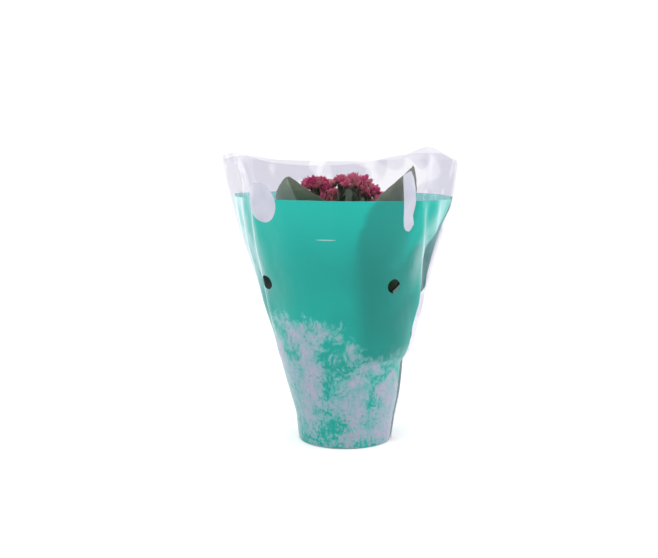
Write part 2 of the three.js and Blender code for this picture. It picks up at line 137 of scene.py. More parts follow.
# Pairs of small leaves up a stalk: share of its length, and their own length and width
STALK_LEAVES = ((0.42, 17, 8), (0.62, 14, 7), (0.8, 11, 6))
PEDICELS, PEDICEL_RADII = 11, [0.85, 0.75, 0.7, 0.7, 0.75, 1.0]
LEAF_ROWS, LEAF_COLUMNS, PETIOLE_ROWS = 40, 9, 9
PETIOLE_SHARE = 0.3
SIDE_VEINS = 7

# Flower heads (m), with the share of open blooms and the lightness of tone head by head
HEAD_LOOKS = [(0.4, 0.2), (0.3, 0.5), (0.1, 0.35), (0.3, 0.2), (0.0, 0.65), (0.3, 0.3), (0.3, 0.5)]
FLORETS, FIRST_SEED = 21, 20
DOME = {"Dome Radius": 0.0062, "Dome Height": 0.0046, "Spread": math.pi / 2}
PETAL_SIZES = ["Length", "Width", "Bow", "Recurve", "Cup"]
WHORL_SIZES = [*PETAL_SIZES, "Inner Tilt", "Outer Tilt", "Seat", "Inner Size"]
# Number and sizes of the petals and of the calyx's leaves, for an open bloom, a half-open one and a bud
CALYX = [5, 0.0046, 0.0021, 0.0009, 0.0002, 0.1, 0.25, 0.3, 0.0006, 1.0]
WHORLS = [
    ([17, 0.0078, 0.0042, 0.0007, 0.0006, 0.22, 0.12, 1.12, 0.0007, 0.6], CALYX),
    ([12, 0.0082, 0.0041, 0.0011, 0.0002, 0.3, 0.02, 0.5, 0.0006, 0.8], CALYX),
    ([7, 0.0082, 0.0038, 0.0013, -0.0009, 0.38, 0.0, 0.1, 0.0004, 0.9], [*CALYX[:3], 0.0013, *CALYX[4:]]),
]

# Half the floor's side (mm); the lamps, as azimuth from the camera's side, distance, height, width and height of the
# panel (m) and power (W); and the camera (mm and degrees)
FLOOR_REACH = 12000
LAMPS = {
    "key_panel": (-38, 1.5, 1.25, 1.4, 1.4, 15),
    "right_strip": (84, 1.0, 0.34, 0.2, 0.8, 6),
    "left_strip": (-118, 1.0, 0.34, 0.2, 0.8, 2.5),
}
LAMP_AIM = 0.14
CAMERA = dict(place=(-14.8, -940, 273), down=7.7, lens=57.45, sensor=36)


def smoothstep(value, start, end):
    t = np.clip((np.asarray(value, float) - start) / (end - start), 0, 1)
    return t * t * (3 - 2 * t)


def lerp(a, b, t):
    return a + (b - a) * t


def way(angle, rise=0.0):
    return Vector((math.cos(angle), math.sin(angle), rise)).normalized()


# Shader and geometry trees
def operator(operation):
    return lambda first, second: calc(operation, first, second)


class Value:
    """A node's output. Reckoning with it adds maths nodes to its tree."""

    def __init__(self, socket):
        self.socket = socket
        self.tree = socket.id_data

    __add__, __sub__, __mul__ = operator("ADD"), operator("SUBTRACT"), operator("MULTIPLY")
    __truediv__, __pow__ = operator("DIVIDE"), operator("POWER")

    def __rsub__(self, first):
        return calc("SUBTRACT", first, self)


def linear(shade):
    """A colour of three display values from 0 to 255 made linear; a colour of four values is linear already."""
    if len(shade) == 4:
        return shade
    return tuple(((v / 255 + 0.055) / 1.055) ** 2.4 if v > 10 else v / 3294.6 for v in shade) + (1.0,)


def node(tree, kind, inputs=None, **settings):
    """Adds a node; inputs maps a socket's name or number to a plain value or to another node's output."""
    made = tree.nodes.new(kind)
    for key, value in settings.items():
        setattr(made, key, value)
    for key, value in (inputs or {}).items():
        socket = made.inputs[key]
        if isinstance(value, Value):
            tree.links.new(value.socket, socket)
        else:
            socket.default_value = linear(value) if socket.type == "RGBA" else value
    return made


def output(tree, kind, inputs=None, pick=0, **settings):
    """Adds a node and gives one of its outputs."""
    return Value(node(tree, kind, inputs, **settings).outputs[pick])


def tree_of(*values):
    return next(value.tree for value in values if isinstance(value, Value))


def calc(operation, *values, clamp=False):
    kind = "ShaderNodeMath"
    return output(tree_of(*values), kind, dict(enumerate(values)), operation=operation, use_clamp=clamp)


def vector_calc(operation, first, second):
    return output(first.tree, "ShaderNodeVectorMath", {0: first, 1: second}, operation=operation)


def vector(x, y=0.0, z=0.0):
    return output(tree_of(x, y, z), "ShaderNodeCombineXYZ", {0: x, 1: y, 2: z})


def parts(value):
    return [Value(part) for part in node(value.tree, "ShaderNodeSeparateXYZ", {0: value}).outputs]


def remap(value, low, high, to_low=0.0, to_high=1.0):
    return output(value.tree, "ShaderNodeMapRange", {0: value, 1: low, 2: high, 3: to_low, 4: to_high},
                  interpolation_type="SMOOTHSTEP")


def mix(share, first, second):
    """Two colours blended; share is the second one's."""
    return output(tree_of(share, first, second), "ShaderNodeMix", {0: share, 6: first, 7: second}, 2,
                  data_type="RGBA")


def ramp(value, *stops):
    made = node(value.tree, "ShaderNodeValToRGB", {0: value})
    elements = made.color_ramp.elements
    while len(elements) < len(stops):
        elements.new(0.5)
    for element, (place, shade) in zip(elements, stops):
        element.position = place
        element.color = linear(shade)
    return Value(made.outputs[0])


def bump(height, distance, strength):
    return output(height.tree, "ShaderNodeBump", {"Height": height, "Distance": distance, "Strength": strength})


def object_place(tree):
    return output(tree, "ShaderNodeTexCoord", pick="Object")


def object_noise(tree, scale, detail=3.0, roughness=0.5, stretch=(1, 1, 1), distortion=0.0):
    mapped = output(tree, "ShaderNodeMapping", {"Vector": object_place(tree), "Scale": stretch})
    return output(tree, "ShaderNodeTexNoise", {"Vector": mapped, "Scale": scale, "Detail": detail,
                                               "Roughness": roughness, "Distortion": distortion})


def attribute(tree, name, pick="Fac"):
    return output(tree, "ShaderNodeAttribute", pick=pick, attribute_name=name)


def facing(tree, **inputs):
    """How far a surface turns away from the eye."""
    return output(tree, "ShaderNodeLayerWeight", {"Blend": 0.5, **inputs}, "Facing")


def empty_tree(owner):
    owner.use_nodes = True
    owner.node_tree.nodes.clear()
    return owner.node_tree


def new_finish(name):
    material = bpy.data.materials.new(name)
    return material, empty_tree(material)


def end_in(material, shader):
    node(shader.tree, "ShaderNodeOutputMaterial", {0: shader})
    return material


def finish_with(material, **inputs):
    """Ends a material in one Principled shader. Keyword names are its sockets' names with underscores."""
    sockets = {key.replace("_", " "): value for key, value in inputs.items()}
    return end_in(material, output(material.node_tree, "ShaderNodeBsdfPrincipled", sockets))


def grained_finish(name, grain, low, high, relief=None, **inputs):
    """One noise that blends two colours, and that also stands out by relief's distance and strength."""
    material, tree = new_finish(name)
    pattern = object_noise(tree, *grain)
    if relief:
        inputs["Normal"] = bump(pattern, *relief)
    return finish_with(material, Base_Color=ramp(pattern, low, high), **inputs)


# Finishes
def printed_ink(tree):
    """Teal ink that breaks up into lilac, pink and pale aqua marbling down the sleeve, with painted light towards the
    print's top and painted shade where leaves lie close behind it, and its height in mm.
    """
    x, _, z = parts(object_place(tree))
    height = z * (1 / MM)
    # The marbling starts higher on the left than on the right
    slanted = x * (MARBLE_SLANT / MM) + height
    blobs = object_noise(tree, 40, 3, 0.5, (1, 1, 0.85), 0.5)
    shreds = object_noise(tree, 130, 4, 0.65, (1, 1, 0.8), 1.2)
    flecks = object_noise(tree, 420, 3, 0.6, (1, 1, 0.8))
    hue = object_noise(tree, 62, 4, 0.6, (1.2, 1.2, 0.7), 0.8)
    down = calc("MAXIMUM", (MARBLE_TOP - slanted) / MARBLE_TOP, 0.0)
    level = remap(down, 0.0, 0.45) * 0.26 - 0.14 - remap(slanted, MARBLE_TOP - 6, MARBLE_TOP + 40) * 1.2
    level = level + (blobs - 0.5) * 1.5 + (shreds - 0.5) * 0.8 + (flecks - 0.5) * (down * 1.5 + 0.25)
    # Nearer the bottom the lilac closes up again with teal specks
    level = level - remap(down, 0.6, 1.0) * 0.04
    pale = ramp(hue, (0.34, (88, 146, 151)), (0.46, (136, 149, 163)), (0.56, (152, 147, 166)),
                (0.66, (156, 142, 163)), (0.74, (170, 122, 151)))
    pale = mix(remap(flecks, 0.42, 0.62) * 0.42, pale, (60, 146, 142))
    teal = ramp(object_noise(tree, 16, 2, 0.5), (0.35, (0, 132, 122)), (0.65, (0, 141, 130)))
    # Painted light: the teal is lighter towards the print's top, where more light comes through it from behind
    teal = mix(remap(height, 150, 225), teal, (4, 156, 144))
    mist = remap(level, -0.26, 0.0) * remap(shreds, 0.4, 0.62, 0.15, 0.85)
    ink = mix(remap(level, -0.13, 0.22), mix(mist, teal, (88, 158, 156)), pale)
    # Painted shade: the ink is darkened towards near black where leaves lie close behind the film
    return mix(attribute(tree, "backing") * 0.4, ink, (0.0, 0.02, 0.02, 1)), height


def make_print_outside():
    material, tree = new_finish("printed_film_outside")
    ink, height = printed_ink(tree)
    # Painted reflection: where the film curves away from the eye its ink is blended towards pale, the more so the
    # looser it hangs, and painted pale streaks of reflection lie on its creased sides
    streaks = remap(object_noise(tree, 130, 3, 0.5, (1, 1, 0.12)), 0.35, 0.62, 0.45, 1.0)
    sheen = facing(tree) ** 3.4 * remap(height, 85, 150, 0.3, 1.0) + attribute(tree, "haze") * streaks
    ink = mix(calc("MINIMUM", sheen, 1.0), ink, (196, 212, 218))
    ripple = object_noise(tree, 22, 2, 0.4, (1, 1, 0.35))
    return finish_with(material, Base_Color=ink, Roughness=0.3, Alpha=0.86, IOR=1.22,
                       Normal=bump(ripple, 0.0006, 0.5))


def make_print_inside():
    material, tree = new_finish("printed_film_inside")
    ink = mix(0.52, printed_ink(tree)[0], (186, 228, 232))
    # Painted light: the paled ink glows, standing in for the daylight that comes through the print from outside
    return finish_with(material, Base_Color=ink, Roughness=0.3, Alpha=0.8, IOR=1.33, Emission_Color=ink,
                       Emission_Strength=0.34)


def make_clear_film():
    material, tree = new_finish("clear_film")
    normal = bump(object_noise(tree, 26, 2, 0.4, (1, 1, 0.4)), 0.0006, 0.4)
    shine = facing(tree, Normal=normal) ** 5.0 * 0.16 + 0.003
    # Painted glare: in patches the film lets more light through and reads whiter
    painted_glare_patches = remap(object_noise(tree, 34, 1, 0.4, (1, 1, 0.8)), 0.53, 0.6)
    tint = mix(painted_glare_patches, (0.904, 0.9, 0.931, 1), (0.975, 0.972, 0.985, 1))
    through = output(tree, "ShaderNodeBsdfTransparent", {"Color": tint})
    gloss = output(tree, "ShaderNodeBsdfGlossy", {"Color": (1, 1, 1, 1), "Roughness": 0.06, "Normal": normal})
    return end_in(material, output(tree, "ShaderNodeMixShader", {0: shine, 1: through, 2: gloss}))


def make_leaf_finish(name, dark, light, vein, edge, painted_shade_half=None):
    """The last colour, when given, is a painted shade towards which the half on the blade's negative side is turned.
    """
    material, tree = new_finish(name)
    along, across, _ = parts(attribute(tree, "blade", "Vector"))
    size = calc("ABSOLUTE", across)
    mottle = object_noise(tree, 120, 4, 0.6)
    shade = ramp(mottle, (0.3, dark), (0.7, light))
    # Painted shade over one half of the blade
    if painted_shade_half:
        shade = mix(remap(across, -0.12, 0.12, 0.85, 0.0), shade, painted_shade_half)
    rib = remap(size, 0.0, 0.09, 1.0, 0.0)
    comb = calc("PINGPONG", along * SIDE_VEINS, 0.5)
    side_veins = remap(comb, 0.0, 0.06, 1.0, 0.0) * remap(size, 0.95, 0.4)
    shade = mix(calc("MAXIMUM", rib, side_veins * 0.55, clamp=True) * 0.6, shade, vein)
    shade = mix(remap(size, 0.93, 1.0) * 0.6, shade, edge)
    net = output(tree, "ShaderNodeTexVoronoi", {"Vector": object_place(tree), "Scale": 420},
                 feature="DISTANCE_TO_EDGE")
    fine = mottle * 0.5 - remap(net, 0.0, 0.05, 1.0, 0.0) * 0.12
    return finish_with(material, Base_Color=shade, Roughness=remap(mottle, 0.2, 0.8, 0.36, 0.52), IOR=1.45,
                       Normal=bump(fine, 0.0006, 0.5))


def make_stem_finish():
    material, tree = new_finish("green_stem")
    height = parts(object_place(tree))[2]
    streaks = object_noise(tree, 300, 4, 0.6, (1, 1, 0.12))
    green = ramp(streaks, (0.3, (28, 40, 22)), (0.7, (52, 66, 38)))
    bark = ramp(streaks, (0.3, (92, 72, 46)), (0.7, (142, 120, 84)))
    return finish_with(material, Base_Color=mix(remap(height, 0.105, 0.08), green, bark), Roughness=0.55,
                       Normal=bump(streaks, 0.0004, 0.7))


def make_petal_finish():
    material, tree = new_finish("pink_petal")
    along, streak = attribute(tree, "along"), object_noise(tree, 900, 3, 0.6, (1, 1, 0.4))
    deep = ramp(along, (0.0, (110, 112, 62)), (0.3, (150, 66, 82)), (0.66, (198, 4, 112)), (1.0, (208, 28, 138)))
    light = ramp(along, (0.0, (158, 154, 104)), (0.42, (206, 148, 136)), (0.74, (216, 62, 140)),
                 (1.0, (230, 102, 174)))
    shade = mix(streak * 0.25, mix(attribute(tree, "tone"), deep, light), (130, 20, 66))
    return finish_with(material, Base_Color=shade, Roughness=0.55, IOR=1.3, Normal=bump(streak, 0.0003, 0.5))


def make_calyx_finish():
    material, tree = new_finish("green_calyx")
    grain = object_noise(tree, 700, 3, 0.6)
    green = ramp(attribute(tree, "along"), (0.0, (66, 84, 42)), (0.7, (48, 66, 34)), (1.0, (104, 66, 54)))
    return finish_with(material, Base_Color=mix(grain * 0.5, green, (88, 106, 60)), Roughness=0.5,
                       Normal=bump(grain, 0.0003, 0.5))


def make_pot_finish():
    material, tree = new_finish("dark_pot_plastic")
    flow = object_noise(tree, 90, 5, 0.55)
    return finish_with(material, Base_Color=ramp(flow, (0.3, (40, 34, 31)), (0.7, (58, 50, 46))),
                       Roughness=remap(flow, 0.3, 0.7, 0.38, 0.55),
                       Normal=bump(object_noise(tree, 1400, 2, 0.5), 0.0002, 0.4))


def make_soil_finish(name, dark, light):
    return grained_finish(name, (420, 6, 0.7), (0.35, dark), (0.68, light), (0.0015, 0.9), Roughness=0.95)


def make_mark_ink(name, low, high, cover):
    return grained_finish(name, (60, 2, 0.5), (0.3, low), (0.7, high), Roughness=0.4, Alpha=cover, IOR=1.33)


# Building meshes
def new_object(name, data):
    made = bpy.data.objects.new(name, data)
    bpy.context.scene.collection.objects.link(made)
    return made


def place_piece(name, mesh, stands_for=()):
    made = new_object(name, mesh)
    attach(made, "root")
    if stands_for:
        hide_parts(*stands_for)
    return made


def new_mesh(name, points, faces, finishes=()):
    """A smooth mesh from points in millimetres."""
    mesh = bpy.data.meshes.new(name)
    mesh.from_pydata((np.asarray(points, float) * MM).tolist(), [], [list(map(int, face)) for face in faces])
    for finish in finishes:
        mesh.materials.append(finish)
    mesh.polygons.foreach_set("use_smooth", np.ones(len(faces), dtype=bool))
    return mesh


def piece(name, points, faces, finishes, stands_for=(), sharp=40, slots=None):
    """A piece of the dressed model; slots gives each face's finish, and sharp the angle of its sharp edges."""
    mesh = new_mesh(name, points, faces, finishes)
    if slots is not None:
        mesh.polygons.foreach_set("material_index", np.asarray(slots, dtype=np.int32))
    mesh.set_sharp_from_angle(angle=math.radians(sharp))
    mesh.validate()
    mesh.update()
    return place_piece(name, mesh, stands_for)


def ring_faces(rows, sides, start=0, flip=False):
    """Quads between rows of points that close round; flip turns them to face the other way."""
    faces = []
    for below in range(start, start + (rows - 1) * sides, sides):
        for side in range(sides):
            after = (side + 1) % sides
            quad = [below + side, below + after, below + sides + after, below + sides + side]
            faces.append(quad[::-1] if flip else quad)
    return faces


def capped(points, sides, first_centre, last_centre):
    """Closes rings of points with a fan of faces at both ends, and gives all the points and faces."""
    first, last = len(points), len(points) - sides
    faces = ring_faces(first // sides, sides)
    for side in range(sides):
        after = (side + 1) % sides
        faces.append([first, after, side])
        faces.append([first + 1, last + side, last + after])
    return np.concatenate([points, [first_centre, last_centre]]), faces


def opened(mesh):
    bm = bmesh.new()
    bm.from_mesh(mesh)
    return bm


def written(bm, mesh):
    bm.to_mesh(mesh)
    bm.free()
    return mesh


def evaluated_mesh(item):
    bpy.context.view_layer.update()
    return bpy.data.meshes.new_from_object(item.evaluated_get(bpy.context.evaluated_depsgraph_get()))


def cut(target, cutters, sharp):
    """Takes closed cutter meshes out of a piece."""
    for cutter in cutters:
        tool = target.modifiers.new("cut", "BOOLEAN")
        tool.operation, tool.solver, tool.object = "DIFFERENCE", "MANIFOLD", cutter
    old, result = target.data, evaluated_mesh(target)
    target.modifiers.clear()
    target.data = result
    bpy.data.meshes.remove(old)
    result.name = target.name
    # A cut can leave slivers without any area along its rim
    bm = opened(result)
    bmesh.ops.dissolve_degenerate(bm, dist=0.01 * MM, edges=bm.edges)
    bmesh.ops.triangulate(bm, faces=[face for face in bm.faces if len(face.verts) > 4])
    bmesh.ops.dissolve_degenerate(bm, dist=0.01 * MM, edges=bm.edges)
    written(bm, result).set_sharp_from_angle(angle=math.radians(sharp))
    for cutter in cutters:
        bpy.data.objects.remove(cutter)


def cylinder_tool(centre, direction, radius, depth):
    bm = bmesh.new()
    bmesh.ops.create_cone(bm, cap_ends=True, segments=40, radius1=radius * MM, radius2=radius * MM,
                          depth=depth * MM)
    turn = Vector(direction).to_track_quat("Z", "Y").to_matrix().to_4x4()
    turn.translation = Vector(centre) * MM
    bmesh.ops.transform(bm, matrix=turn, verts=bm.verts)
    return new_object("tool", written(bm, bpy.data.meshes.new("tool")))


# Film sleeve
def smoothed(values, reach):
    window = np.hanning(2 * reach + 3)[1:-1]
    padded = np.pad(values, reach, mode="reflect", reflect_type="odd")
    return np.convolve(padded, window / window.sum(), mode="valid")


def fine_section(column):
    """A column of the table of sections as a smooth curve: tight round the pot's rim, easy above it."""
    rough = np.interp(HEIGHTS, SLEEVE_SECTIONS[:, 0], SLEEVE_SECTIONS[:, column])
    return lerp(smoothed(rough, 5), smoothed(rough, 26), smoothstep(HEIGHTS, 92, 112))


FINE_SECTIONS = [fine_section(column) for column in (1, 2, 3)]


def panel_arc(z):
    """Radius, half angle, bulge and shift of a panel's arc at each height."""
    span, bulge, shift = (np.interp(z, HEIGHTS, column) for column in FINE_SECTIONS)
    radius = (span**2 + bulge**2) / (2 * bulge)
    return radius, np.arcsin(np.minimum(1, span / radius)), bulge, shift


def half_arc(z):
    radius, widest, *_ = panel_arc(z)
    return radius * widest


def film_place(share, front, z, push=0.0, fin=0.0):
    """Points of the film in mm. share runs from -1 to 1 between the welds, front is 1 or -1, push moves a point out
    along the panel, and fin moves it away from the middle at a weld."""
    share, z, front = np.broadcast_arrays(np.asarray(share, float), np.asarray(z, float), front)
    radius, widest, bulge, shift = panel_arc(z)
    angle = share * widest
    x = (radius + push) * np.sin(angle) + fin * np.sign(share)
    y = -front * ((radius + push) * np.cos(angle) - radius + bulge)
    cos, sin = math.cos(SLEEVE_TURN), math.sin(SLEEVE_TURN)
    return np.stack([x * cos - y * sin + shift, x * sin + y * cos, z], axis=-1)


def top_edge(share, heights):
    """Height of the film's top edge, a smooth curve through evenly spaced heights."""
    position = (share + 1) / 2 * (len(heights) - 1)
    start = np.clip(np.floor(position).astype(int), 0, len(heights) - 2)
    t = position - start
    points = np.array(heights)[np.clip(start[..., None] + np.arange(-1, 3), 0, len(heights) - 1)]
    p0, p1, p2, p3 = np.moveaxis(points, -1, 0)
    slope1, slope2 = (p2 - p0) / 2, (p3 - p1) / 2
    return ((2 * p1 - 2 * p2 + slope1 + slope2) * t**3 + (-3 * p1 + 3 * p2 - 2 * slope1 - slope2) * t**2
            + slope1 * t + p1)


def film_relief(share, front, z):
    """How far the film stands out of its smooth shape: creases by the welds, soft dents and fine ripples."""
    arc = half_arc(z)
    creases = np.zeros(share.shape)
    for panel, side, shares, depth, wave in CREASES:
        if panel == front:
            beyond = (share * side - np.interp(z, CREASE_HEIGHTS, shares)) * arc
            outward = np.maximum(beyond, 0)
            outer = np.exp(-outward**2 / (20 * (outward + 8))) * np.cos(2 * np.pi * outward / wave)
            reach = smoothstep(z, *CREASE_RISE) * (1 - smoothstep(z, *CREASE_FADE))
            creases += depth * np.where(beyond < 0, np.exp(-((beyond / 8) ** 2)), outer) * reach
    dents = np.reshape([
        sum(depth * noise.noise((a / width + shift * front, h / tall, layer))
            for depth, width, shift, tall, layer in DENTS)
        for a, h in zip((share * arc).ravel(), z.ravel())], share.shape)
    loose = creases + dents * lerp(0.25, 1.0, smoothstep(z, *LOOSE))
    # Against the pot the film can only stand outwards
    return lerp(loose, np.abs(dents) * 0.45, 1 - smoothstep(z, 90, 100)) * (1 - np.abs(share) ** 18)


FLAT_HEIGHTS = np.concatenate([
    np.arange(0.6, 74, 3.0), np.arange(74, 96, 1.4), np.arange(96, PRINT_TOP - 1.2, 2.2), [PRINT_TOP],
])
COLUMN_SHARES = np.linspace(-1, 1, SLEEVE_COLUMNS + 1)


def panel_points(front, inset):
    """Rows of points of one panel, from the left weld to the right weld."""
    edge = top_edge(COLUMN_SHARES, FRONT_EDGE if front > 0 else BACK_EDGE)
    rise = np.linspace(0, 1, 13)[1:]
    z = np.concatenate([np.repeat(FLAT_HEIGHTS[:, None], SLEEVE_COLUMNS + 1, axis=1),
                        PRINT_TOP + rise[:, None] * (edge[None, :] - PRINT_TOP)])
    margins = FRONT_MARGINS if front > 0 else BACK_MARGINS
    left, right = (np.interp(z, MARGIN_HEIGHTS, margin) for margin in margins)
    margin = np.where(COLUMN_SHARES < 0, left, right)
    size = np.abs(COLUMN_SHARES)
    outside = lerp(margin, 1.0, np.clip((size - MARGIN_COLUMN) / (1 - MARGIN_COLUMN), 0, 1))
    share = np.sign(COLUMN_SHARES) * np.where(size <= MARGIN_COLUMN, size / MARGIN_COLUMN * margin, outside)
    relief = film_relief(share, front, z)
    if front > 0:
        # The print's upper edge dips a little towards the right
        near_edge = smoothstep(z, 170, PRINT_TOP) * (1 - smoothstep(z, PRINT_TOP, 240))
        z = z - (0.6 + 0.55 * share + 1.25 * share**2) * near_edge
    fin = 1.5 * smoothstep(np.abs(share), 0.955, 1.0) * (1 - inset)
    return film_place(share, front, z, relief - inset * FILM_THICKNESS, fin)


def painted_leaf_shade_grid(points, leaves):
    """Painted shade of the leaves' blades that lie close behind each point of the film, from 0 to 1, with its rows
    and columns; it darkens the print's ink. Lower leaves crowd below the upper ones, so the painted shade fades
    slowly down each column."""
    corners, faces = [], []
    for leaf in leaves:
        start = len(corners)
        blade = leaf.data.attributes["blade"].data
        corners += [corner.co for corner in leaf.data.vertices]
        faces += [[start + corner for corner in face.vertices] for face in leaf.data.polygons
                  if blade[face.vertices[0]].vector.x > 0.1]
    tree = BVHTree.FromPolygons(corners, faces)
    rows, sides, _ = points.shape
    shade = np.zeros((rows, sides))
    for row in range(rows - 1, -1, -1):
        for side in range(sides):
            spot = Vector(points[row, side]) * MM
            if not 0.08 < spot.z < PRINT_TOP * MM + 0.001:
                continue
            hit = tree.ray_cast(spot, Vector((0, 1 if side < SLEEVE_COLUMNS else -1, 0)), NEAR_REACH)
            shade[row, side] = 1 - smoothstep(hit[3] / NEAR_REACH, 0.35, 1.0) if hit[0] else 0.0
            if row + 1 < rows:
                drop = points[row + 1, side, 2] - spot.z / MM
                shade[row, side] = max(shade[row, side], shade[row + 1, side] - drop / SHADE_DROP)
    # Softened sideways, a little towards the print's top and much more below
    soft = [shade]
    for _ in range(max(SOFTENINGS)):
        last = soft[-1]
        soft.append((np.roll(last, 1, axis=1) + 2 * last + np.roll(last, -1, axis=1)) / 4)
    low, high = (soft[times] for times in SOFTENINGS)
    return lerp(low, high, smoothstep(points[..., 2], 150, 205))


def painted_crease_sheen_grid(points):
    """Painted pale streaks of reflection on the front's creased sides, from 0 to 1, with the film's rows and columns.
    """
    share = np.zeros(points.shape[:2])
    share[:, :SLEEVE_COLUMNS] = COLUMN_SHARES[:-1]
    z = points[..., 2]
    left = 0.52 * smoothstep(-share, 0.42, 0.6) * smoothstep(z, 118, 165)
    right = 0.34 * smoothstep(share, 0.72, 0.84) * smoothstep(z, 135, 175)
    return left + right


def mark_corners(mesh, points, **grids):
    """Gives each corner of the film the grids' values at the nearest point, as attributes."""
    tree = KDTree(points.shape[0] * points.shape[1])
    for number, spot in enumerate(points.reshape(-1, 3) * MM):
        tree.insert(spot, number)
    tree.balance()
    nearest = [tree.find(corner.co)[1] for corner in mesh.vertices]
    for name, grid in grids.items():
        layer = mesh.attributes.new(name, "FLOAT", "POINT")
        layer.data.foreach_set("value", grid.ravel()[nearest].astype(np.float32))


def make_sleeve(print_outside, print_inside, clear_film, near_leaves):
    outer, inner = (np.concatenate([panel_points(1, inset)[:, :-1], panel_points(-1, inset)[:, :0:-1]], axis=1)
                    for inset in (0, 1))
    rows, sides = outer.shape[:2]
    count, top = rows * sides, (rows - 1) * sides
    printed = list(np.abs(COLUMN_SHARES[:-1] + 1 / SLEEVE_COLUMNS) < MARGIN_COLUMN)
    printed += printed[::-1]
    faces = ring_faces(rows, sides) + ring_faces(rows, sides, count, flip=True)
    slots = [ink if row < len(FLAT_HEIGHTS) - 1 and inked else 2
             for ink in (0, 1) for row in range(rows - 1) for inked in printed]
    for side in range(sides):
        after = (side + 1) % sides
        faces.append([top + side, top + after, count + top + after, count + top + side])
        faces.append([count + side, count + after, after, side])
        slots += [2, 0 if printed[side] else 2]
    sleeve = piece("film_sleeve", np.concatenate([outer.reshape(-1, 3), inner.reshape(-1, 3)]), faces,
                   [print_outside, print_inside, clear_film], ["sleeve"], slots=slots)
    tools = []
    for front in (1, -1):
        for share in AIR_HOLE["shares"]:
            centre = film_place(share, front, AIR_HOLE["height"])
            along = film_place(share + 0.01, front, AIR_HOLE["height"]) - centre
            tools.append(cylinder_tool(centre, (along[1], -along[0], 0), AIR_HOLE["radius"], depth=14))
    cut(sleeve, tools, sharp=40)
    # The print's painted leaf shade and painted streaks of reflection go onto the film's corners
    mark_corners(sleeve.data, outer, backing=painted_leaf_shade_grid(outer, near_leaves), haze=painted_crease_sheen_grid(outer))


RIM_TURNS = np.linspace(0, FULL_TURN, 97)[:-1]


def ellipse(share, height, half_width, half_height):
    """Shares and heights of a round mark's rim."""
    return np.stack([share + half_width * np.cos(RIM_TURNS) / half_arc(height),
                     height + half_height * np.sin(RIM_TURNS)], axis=1)


def strip_rim():
    steps = np.hypot(np.diff(STRIP[:, 0]) * half_arc(220.0), np.diff(STRIP[:, 1]))
    distance = np.concatenate([[0], np.cumsum(steps)])
    along = RIM_TURNS / FULL_TURN * distance[-1]
    return np.stack([np.interp(along, distance, column) for column in STRIP.T], axis=1)


def film_mark(name, rim, finish, rings):
    """A thin printed mark that follows the film, filled from its rim towards its middle."""
    def laid(spots, lift):
        share, height = spots.T
        return film_place(share, 1, height, film_relief(share, 1, height) + lift)

    middle = rim.mean(axis=0, keepdims=True)
    rows = [laid(lerp(middle, rim, ring / rings), MARK_LIFT) for ring in range(1, rings)]
    rows += [laid(rim, MARK_RIM), laid(rim, MARK_UNDER)]
    points, faces = capped(np.concatenate(rows), len(rim), laid(middle, MARK_LIFT)[0], laid(middle, MARK_UNDER)[0])
    mesh = piece(name, points, faces, [finish], sharp=60).data
    bm = opened(mesh)
    bmesh.ops.recalc_face_normals(bm, faces=bm.faces)
    written(bm, mesh)


# Pot and soil
def body_radius(z):
    return lerp(POT["base"], POT["body"], z / POT["ledge_height"])


def lathe(profile, sides, flutes=lambda z, turns: 0):
    """Rings of points for a turned form; flutes gives how much of the radius is taken off, by height and angle."""
    turns = np.linspace(0, FULL_TURN, sides + 1)[:-1]
    rings = []
    for radius, z in profile:
        radii = radius - flutes(z, turns)
        rings.append(np.stack([radii * np.cos(turns), radii * np.sin(turns), np.full(sides, float(z))], axis=1))
    return np.concatenate(rings)


def pot_flutes(z, turns):
    """Shallow upright flutes press into the wall below the ledge."""
    inside = smoothstep(z, 6, 14) * (1 - smoothstep(z, 66, 74))
    return FLUTES["depth"] * inside * (0.5 + 0.5 * np.cos(FLUTES["count"] * turns)) ** 3


def make_pot(plastic):
    height, wall, floor, base, edge, body, step, ledge, rim = POT.values()
    # Up the outside: base edge, wall, ledge and rim; then over the lip and down the inside
    rings = [(base - edge, 0.0)]
    rings += [(base - edge + edge * math.sin(a), edge - edge * math.cos(a)) for a in np.linspace(0.3, 1.57, 5)]
    rings += [(body_radius(z), z) for z in np.linspace(5, step - 1.2, 12)]
    rings += [(body + 0.3, step - 0.3), (body + 1.2, step), (ledge - 0.6, step + 0.5)]
    rings += [(lerp(ledge, rim, t), lerp(step + 1.1, height - 1, t)) for t in (0, 0.25, 0.5, 0.75, 1)]
    rings += [(rim - wall / 2 + wall / 2 * math.cos(a), height - wall / 2 + wall / 2 * math.sin(a))
              for a in np.linspace(0.2, math.pi - 0.2, 7)]
    rings += [(ledge - wall, step + wall + 0.6), (body - wall, step + wall)]
    rings += [(body_radius(z) - wall, z) for z in np.linspace(step - 3, 3, 8)]
    rings += [(body_radius(floor) - wall - 1, floor)]
    sides = 144
    points, faces = capped(lathe(rings, sides, pot_flutes), sides, (0, 0, BASE_DISH), (0, 0, floor + 0.2))
    pot = piece("nursery_pot", points, faces, [plastic], ["pot"], sharp=35)
    spots = [way(hole / DRAINS["count"] * FULL_TURN) * DRAINS["ring"] for hole in range(DRAINS["count"])]
    cut(pot, [cylinder_tool(spot, UP, DRAINS["radius"], depth=10) for spot in spots], sharp=35)


def geometry_tree(name, result, **kinds):
    """A Geometry Nodes tree with named inputs, kind by kind, and one named result. Gives it and its inputs."""
    tree = bpy.data.node_groups.new(name, "GeometryNodeTree")
    for kind, names in kinds.items():
        for socket_name in names:
            tree.interface.new_socket(socket_name, in_out="INPUT", socket_type=f"NodeSocket{kind}")
    tree.interface.new_socket(result, in_out="OUTPUT", socket_type="NodeSocketGeometry")
    return tree, {socket.name: Value(socket) for socket in node(tree, "NodeGroupInput").outputs if socket.name}


def end_tree(geometry):
    node(geometry.tree, "NodeGroupOutput", {0: geometry})
    return geometry.tree


